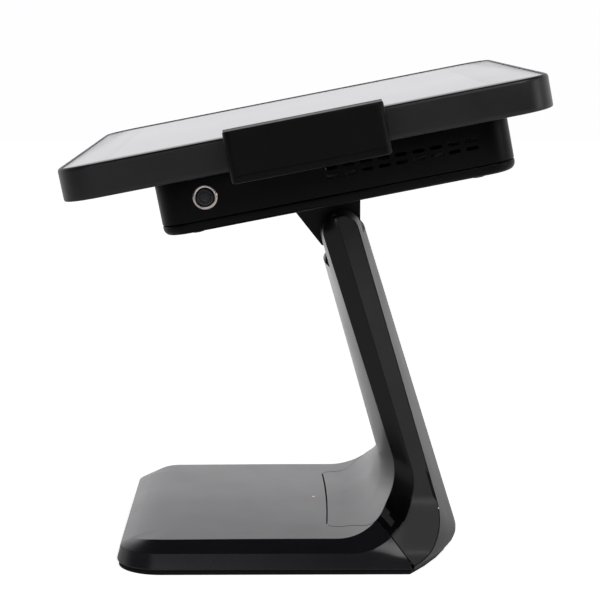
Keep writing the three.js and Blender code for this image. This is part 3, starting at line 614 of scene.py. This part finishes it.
def half_width(p):
    """Half-width at a point of an edge: a tapering arm, flared out to the base below a soft crease."""
    level, side_level = FRONT_CENTRE[0], SIDE_EDGE[0]
    arm = ARM_TOP_HALF + ARM_TAPER * (ARM_TOP_Z - max(p.z, level))
    wall = BASE_HALF - DRAFT * min((p.z - BASE_BOTTOM) / (side_level - BASE_BOTTOM), 1)
    risen = max(smoothstep(p.y, 30, 75), smoothstep(p.z, level, 40))
    pull_in, crease = 0.86, 0.9
    flare = wall - pull_in * risen * max(p.z - side_level, 0)
    return max(arm, flare) + crease * math.log(1 + math.exp(-abs(arm - flare) / crease))


def edge_x(t):
    """Half-width of the light front face, inside the bevelled bands."""
    return half_width(rail_point(FRONT_EDGE, t)) - CHAMFER


def front_point(t, x, depth):
    """A point of the slightly crowned front face, a given depth below its skin."""
    edge = rail_point(shifted(FRONT_EDGE, depth), t)
    centre = rail_point(shifted(FRONT_CENTRE, depth), t)
    share = x / edge_x(t)
    point = edge.lerp(centre, 1 - share * share)
    point.x = x
    return point


TONGUE_FRONT, TONGUE_HALF, TONGUE_CORNER, TONGUE_OPENS = -7, 75, 7, 0.12


def cover_half(t, margin):
    """Half-width of the front cover: a tongue with round corners that opens to the arm's width."""
    opened = smoothstep(t, TONGUE_OPENS, PARTING_FRONT)
    half = TONGUE_HALF + (edge_x(t) - TONGUE_HALF) * opened
    back = t - TONGUE_FRONT
    if t < 0 and back < TONGUE_CORNER:
        gap = TONGUE_CORNER - back
        half -= TONGUE_CORNER - math.sqrt(max(TONGUE_CORNER ** 2 - gap ** 2, 0))
    return half + margin


# Stations along the stand's edges, and across its faces from side to side.
ROUND = [TONGUE_CORNER * (1 - math.cos(math.radians(a))) for a in range(0, 91, 10)]
TONGUE_LINE = [TONGUE_FRONT + r for r in ROUND[:-1]] + [-0.01]
FILLET_LINE = steps(0, 1, 26)[1:]
ARM_LINE = steps(1, 2, 10)[1:]
TOP_LINE = steps(2, 3, 10)[1:]
ACROSS = [math.sin(math.radians(a)) for a in range(-90, 91, 10)]


def slot_cutter(z0):
    """A cutter for the slot at the arm's top, where the hinge comes through."""
    return block("slot", -SLOT_HALF, SLOT_HALF, *SLOT_Y, z0, SLOT_TOP)


def front_grid(lines, margin, depth):
    """Rows of the front face from side to side, reaching a margin past the cover's sides."""
    return [[front_point(t, s * cover_half(t, margin), depth) for s in ACROSS] for t in lines]


def arm_front_cover():
    """The light front face, from the tongue on the base up to the hinge."""
    lines = TONGUE_LINE + FILLET_LINE + ARM_LINE + TOP_LINE
    outer, inner = (front_grid(lines, -SEAM / 2, depth) for depth in (0, WALL))
    piece = shell("front_cover", outer, inner, ARM_SHARP)
    boolean(piece, [slot_cutter(FRONT_SLOT_Z)], "DIFFERENCE", ARM_SHARP)
    soften(piece, COVER_EDGE)
    finish_piece(piece, SATIN, "stand", "satin", "arm_front_cover")


def arm_rear_cover():
    """The cover over the arm's back and the heel."""
    lines = steps(PARTING_REAR, 1, 22) + ARM_LINE + TOP_LINE

    def point(t, s, depth):
        edge = rail_point(shifted(REAR_EDGE, SEAM), t)
        centre = rail_point(shifted(REAR_CENTRE, -depth), t)
        place = edge.lerp(centre, 1 - s * s)
        place.x = (half_width(edge) - depth) * s
        return place

    def grid(depth):
        rows = [[point(t, s, depth) for s in ACROSS] for t in lines]
        foot = [Vector((p.x, p.y, BASE_BOTTOM)) for p in rows[0]]
        return [foot] + rows

    piece = shell("rear_cover", grid(0), grid(WALL), ARM_SHARP)
    boolean(piece, [slot_cutter(REAR_SLOT_Z)], "DIFFERENCE", ARM_SHARP)
    soften(piece, COVER_EDGE)
    finish_piece(piece, ARM_SIDE, "stand", "shell", "arm_rear_cover")


BAND_SHARES = (0, 0.02, 0.35, 0.7, 0.93)
WALL_SHARES = (0.03, 0.08, 0.16, 0.26, 0.38, 0.5, 0.62, 0.74, 0.86, 0.97, 1.0)


def side_profile(step, depth):
    """Points across one side strip, from the front edge over the bevelled band and down the wall."""
    def at(rail, start, shift=0.0):
        t = start + (1 - start) * step if step <= 1 else step
        return rail_point(shifted(rail, shift), t), rail_point(rail, t)

    front, front_edge = at(FRONT_EDGE, PARTING_FRONT, depth)
    side, side_edge = at(SIDE_EDGE, PARTING_SIDE, depth * 0.4)
    rear, rear_edge = at(REAR_EDGE, PARTING_REAR)
    front.x = half_width(front_edge) - CHAMFER + SEAM / 2
    side.x = half_width(side_edge) - depth
    band = [front.lerp(side, share) for share in BAND_SHARES]
    wall = []
    for share in WALL_SHARES:
        place = side.lerp(rear, share)
        place.x = half_width(side_edge.lerp(rear_edge, share)) - depth
        wall.append(place)
    ridge = ((band[-1] + wall[0]) / 2).lerp(side, 0.4)
    return band + [ridge] + wall


def arm_side(name, side):
    """One side of the arm: side is 1 for the right, -1 for the left. Its band has its own material."""
    lines = steps(0, 1, 26) + ARM_LINE + steps(2, 2.8, 8)[1:]

    def grid(depth):
        rows = [side_profile(step, depth) for step in lines]
        return [[Vector((side * p.x, p.y, p.z)) for p in row] for row in rows]

    piece = shell(name + "_cover", grid(0), grid(WALL), ARM_SHARP)
    finish_piece(piece, ARM_SIDE, "stand", "shell", name)
    piece.data.materials.append(BAND)
    faces_forward = -0.08
    for face in piece.data.polygons:
        if face.normal.y < faces_forward:
            face.material_index = 1
    soften(piece, PLAIN_EDGE)


# ---------- stand: base ----------
def fillet_rise(rail, y):
    """How far an edge of the stand has risen above its level line at a depth y."""
    corner_y, radius, slope = rail[1:]
    start = corner_y - radius * math.tan((math.pi / 2 + math.atan(slope)) / 2)
    over = min(max(y - start, 0), radius * 0.98)
    return radius - math.sqrt(radius * radius - over * over)


def base_edges(y):
    """The wall's upper edge and the inner edge of the bevelled band at a depth y, right side."""
    front_drop = 0.4 * (1 - smoothstep(y, -110, 0))
    wall = Vector((0, y, SIDE_EDGE[0] + fillet_rise(SIDE_EDGE, y)))
    edge = Vector((0, y, FRONT_EDGE[0] - front_drop + fillet_rise(FRONT_EDGE, y)))
    wall.x = half_width(wall)
    edge.x = half_width(edge) - CHAMFER
    return wall, edge


def base_height(inset, x, y, frontness):
    """Height of the base's skin a given distance in from its wall; frontness is 1 along the front edge."""
    roll, roundness = 30, 2.4
    wall, edge = base_edges(y)
    share = min(abs(x) / edge.x, 1)
    crown = FRONT_CENTRE[0] + fillet_rise(FRONT_CENTRE, y) - FRONT_EDGE[0] - fillet_rise(FRONT_EDGE, y)
    top = edge.z + crown * (1 - share * share)
    side = wall.z + (edge.z - wall.z) * inset / CHAMFER if inset < CHAMFER else top
    front = wall.z + (top - wall.z) * (1 - (1 - min(inset / roll, 1)) ** roundness)
    return side + (front - side) * frontness


def base_row(inset, z=None):
    """One line round the base's skin: along the right side, round the front and back along the left.

    The line lies on the skin, or at a height z on the wall. It starts where the arm's side covers start.
    """
    straight_from, rear_limit = 25, 78.2
    half = BASE_HALF - DRAFT - inset
    front = BASE_FRONT + DRAFT + inset
    corner = min(max(BASE_CORNER - DRAFT - (inset if inset < 0 else inset * 0.8), 0.5), half)
    side_start = rail_point(SIDE_EDGE, PARTING_SIDE)
    edge_start = rail_point(FRONT_EDGE, PARTING_FRONT)
    if z is None:
        rear = side_start.y + (edge_start.y - side_start.y) * min(inset / CHAMFER, 1) - SEAM
    else:
        rear = min(side_start.y + (side_start.z - z) * 0.8 - SEAM, rear_limit)
    plan = []
    for y in steps(rear, straight_from, 22)[:-1] + steps(straight_from, front + corner, 12)[:-1]:
        wall, edge = base_edges(y)
        x = half
        if z is None and inset <= CHAMFER:
            x = wall.x + (edge.x - wall.x) * inset / CHAMFER
        elif z is None:
            x = edge.x * half / (BASE_HALF - DRAFT - CHAMFER)
        plan.append((x, y, 0.0))
    for k in range(13):
        angle = math.radians(90 * k / 12)
        x = half - corner + corner * math.cos(angle)
        y = front + corner - corner * math.sin(angle)
        plan.append((x, y, smoothstep(k / 12, 0.1, 0.9)))
    right = plan + [((half - corner) * s, front, 1.0) for s in (0.75, 0.5, 0.25)]
    row = right + [(0, front, 1.0)] + [(-x, y, f) for x, y, f in reversed(right)]
    return [Vector((x, y, z if z is not None else base_height(inset, x, y, f))) for x, y, f in row]


# Lines of the base's skin: (inset, height) on its wall, then insets over the band and the top.
BASE_WALL = ((-1.5, BASE_BOTTOM), (-2.25, 3.3), (-2.4, 4.0), (-1.3, 8.0), (-0.2, 12.6))
BASE_TOP = (0.0, 0.35, 0.9, 2.5, 4.5, 6.5, 8.4, 8.85, 9.15, 9.8, 12, 16, 22, 30, 40, 52, 65, 80, 95, 109.9)


def base_shell():
    """The base's one-piece shell, notched where the arm's front cover and its tongue lie in it."""
    outer = [base_row(inset, z) for inset, z in BASE_WALL] + [base_row(inset) for inset in BASE_TOP]
    inner = [[Vector((p.x * 0.975, p.y * 0.985, max(p.z - WALL, BASE_BOTTOM))) for p in row]
             for row in outer]
    piece = shell("base_cover", outer, inner, BASE_SHARP, folded=True)
    lines = [TONGUE_FRONT - 1.0] + [t - 1.0 for t in TONGUE_LINE[1:-1]] + [-0.02]
    lines += steps(0, PARTING_FRONT + 0.1, 16)[1:]
    above, below = (front_grid(lines, SEAM / 2 + 0.3, depth) for depth in (-5, WALL + 5))
    boolean(piece, [shell("notch", above, below)], "DIFFERENCE", BASE_SHARP)
    even = piece.modifiers.new("even", "WEIGHTED_NORMAL")
    even.keep_sharp = True
    finish_piece(piece, SATIN, "stand", "satin", "base_shell")


def status_light():
    """A small domed lens in the base, on the middle line."""
    rings = []
    for radius, z in ((1.2, 19.5), (1.2, 21.75), (1.1, 21.95), (0.8, 22.08), (0.4, 22.15)):
        rings.append([(radius * math.cos(a), LIGHT_Y + radius * math.sin(a), z)
                      for a in steps(0, 2 * math.pi, 24)[:-1]])
    piece = loft("led_lens", rings, "cap", LENS_SHARP)
    finish_piece(piece, LED, "stand", "light_guide", "status_light")


front_frame()
screen_glass()
rear_housing()
back_cover()
power_button()
card_reader()
arm_front_cover()
arm_rear_cover()
arm_side("arm_side_right", 1)
arm_side("arm_side_left", -1)
base_shell()
status_light()

# ---------- materials and edges of the solids that stay ----------
KEPT = (
    (ALLOY, ("lan_jack", "usb_jack_1", "usb_jack_2", "hinge_spacer_left", "hinge_spacer_right")),
    (BOARD, ("mainboard", "memory_module")),
    (TRIM, ("lcd_panel", "cpu_heatsink", "solid_state_drive", "speaker", "serial_jack", "dc_inlet",
            "power_button_switch", "hinge_cover")),
    (READER_BLACK, ("card_reader_base",)),
    (BLACK_STEEL, ("tilt_bracket", "card_reader_screw_1", "card_reader_screw_2",
                   *(f"back_cover_screw_{k}" for k in range(1, 5)))),
    (STEEL, ("hinge_shaft", "friction_washer_left", "friction_washer_right", "hinge_nut_left",
             "hinge_nut_right", "power_button_nut", "card_read_head", "spine_screw_1", "spine_screw_2",
             *(f"bracket_screw_{k}" for k in range(1, 5)), *(f"base_screw_{k}" for k in range(1, 5)))),
    (PLATE_STEEL, ("base_plate", "arm_spine")),
    (RUBBER, ("anti_slip_pad",)),
)
WELD_DISTANCE = 0.01
for material, names in KEPT:
    for node in names:
        piece = NODES[node]
        use(piece, material)
        weld = piece.modifiers.new("weld", "WELD")
        weld.merge_threshold = WELD_DISTANCE * MM
        soften(piece, PLAIN_EDGE)


# ---------- floor, light and surroundings ----------
def axis_value(tree, output, axis):
    """One coordinate of a texture space."""
    place = tree.nodes.new("ShaderNodeTexCoord")
    split = tree.nodes.new("ShaderNodeSeparateXYZ")
    tree.links.new(place.outputs[output], split.inputs["Vector"])
    return split.outputs[axis]


def seen_or_not(tree, unseen, seen):
    """A strength for what the camera sees, and another one for the light that falls on the object."""
    path = tree.nodes.new("ShaderNodeLightPath")
    mix = tree.nodes.new("ShaderNodeMix")
    tree.links.new(path.outputs["Is Camera Ray"], mix.inputs["Factor"])
    tree.links.new(unseen, mix.inputs["A"])
    mix.inputs["B"].default_value = seen
    return mix.outputs["Result"]


def floor():
    """A white floor that glows, more beyond the object than before it."""
    mesh = bpy.data.meshes.new("floor")
    size, below = 4.0, 0.2 * MM
    corners = [(-size, -size, 0), (size, -size, 0), (size, size, 0), (-size, size, 0)]
    mesh.from_pydata(corners, [], [(0, 1, 2, 3)])
    plane = bpy.data.objects.new("floor", mesh)
    bpy.context.scene.collection.objects.link(plane)
    material, tree, bsdf = shader("pale_floor")
    tint(tree, bsdf, noise(tree, 1.5, 2), (0.86, 0.86, 0.87), (0.88, 0.88, 0.89))
    bsdf.inputs["Roughness"].default_value = 0.9
    bsdf.inputs["Emission Color"].default_value = (1, 1, 1, 1)
    beyond = ramp(tree, axis_value(tree, "Object", "X"), 0.05, -0.7, 0.12, 0.75)
    tree.links.new(seen_or_not(tree, beyond, 0.85), bsdf.inputs["Emission Strength"])
    use(plane, material)
    plane.location.z = -below


def area_light(name, location, target, size, power):
    """A rectangular light turned towards a target, in metres and watts."""
    data = bpy.data.lights.new(name, "AREA")
    data.shape = "RECTANGLE"
    data.size, data.size_y = size
    data.energy = power
    light = bpy.data.objects.new(name, data)
    light.location = location
    light.rotation_euler = (Vector(target) - Vector(location)).to_track_quat("-Z", "Y").to_euler()
    bpy.context.scene.collection.objects.link(light)


def surroundings():
    """A white studio: bright behind the object, dimmer overhead and on the camera's side."""
    world = bpy.data.worlds.new("studio")
    bpy.context.scene.world = world
    world.use_nodes = True
    tree = world.node_tree
    background = tree.nodes["Background"]
    behind = ramp(tree, axis_value(tree, "Generated", "X"), 0.15, -0.75, 0.07, 1.0, "SMOOTHSTEP")
    above = ramp(tree, axis_value(tree, "Generated", "Z"), 0.3, 0.85, 1.0, 0.12, "SMOOTHSTEP")
    shade = tree.nodes.new("ShaderNodeMath")
    shade.operation = "MULTIPLY"
    tree.links.new(behind, shade.inputs[0])
    tree.links.new(above, shade.inputs[1])
    tree.links.new(seen_or_not(tree, shade.outputs["Value"], 1.0), background.inputs["Strength"])
    background.inputs["Color"].default_value = (1, 0.99, 1.01, 1)


floor()
surroundings()
area_light("side_strip", (0.5, 1.6, 0.5), (0, 0.1, 0.25), (0.5, 0.9), 3)
area_light("camera_fill", (2.2, -0.6, 1.0), (0, 0, 0.15), (1.2, 1.2), 3)
area_light("top_right", (1.3, 0.6, 1.3), (0, 0.08, 0.08), (0.9, 0.9), 9)
bpy.context.scene.view_settings.view_transform = "Standard"
